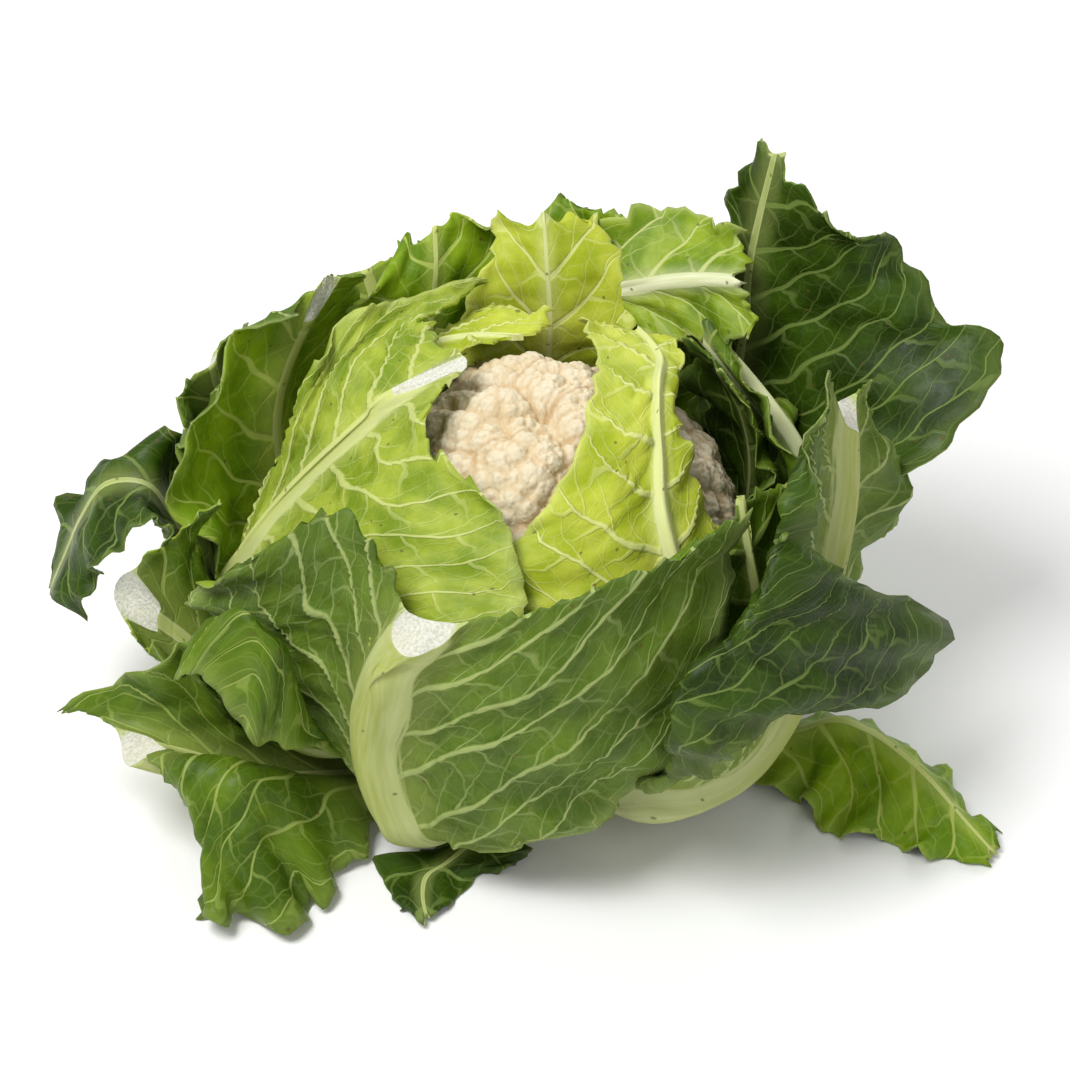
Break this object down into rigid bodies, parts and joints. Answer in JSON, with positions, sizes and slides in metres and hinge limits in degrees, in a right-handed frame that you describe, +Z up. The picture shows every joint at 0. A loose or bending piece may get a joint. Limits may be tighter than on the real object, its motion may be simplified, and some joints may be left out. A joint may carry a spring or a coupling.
{
  "type": "cauliflower",
  "caption": "Head of cauliflower with its trimmed outer leaves, resting on the cut face of its stalk.",
  "frame": {"origin": "middle of the stalk's cut face, on the surface that the head rests on", "axes": "+Z up along the stalk, -Y towards the viewer of the picture, +X to the viewer's right"},
  "size_m": [0.3271, 0.2295, 0.1914],
  "materials": {
    "curd": "granular, matt",
    "stalk": "fibrous cut face, matt",
    "pale": "thin leaf, soft sheen, pale veins",
    "inner": "thin leaf, soft sheen, pale ribs",
    "mid": "leaf, soft sheen, pale veins",
    "dark": "leaf, soft sheen, pale veins",
    "outer": "leaf with a waxy bloom, thick pale ribs"
  },
  "bodies": {
    "root": {"curd": "curd", "stalk": "stalk", "leaf_inner_right": "pale", "leaf_inner_back_left": "pale", "leaf_back": "pale", "leaf_dark_inner": "mid", "leaf_inner_left": "inner", "leaf_front_inner": "mid", "leaf_back_folded": "inner", "leaf_right_inner": "mid", "leaf_back_left": "mid", "leaf_upper_left": "dark", "leaf_back_right": "dark", "leaf_front": "outer", "leaf_right": "outer", "leaf_ribbon_left": "mid", "leaf_left": "outer", "leaf_back_outer": "outer", "leaf_back_left_outer": "outer", "leaf_left_outer": "outer", "leaf_left_back": "outer", "leaf_back_right_outer": "outer", "leaf_low_left": "outer", "leaf_low_front": "dark", "leaf_low_right": "mid"}
  },
  "joints": []
}
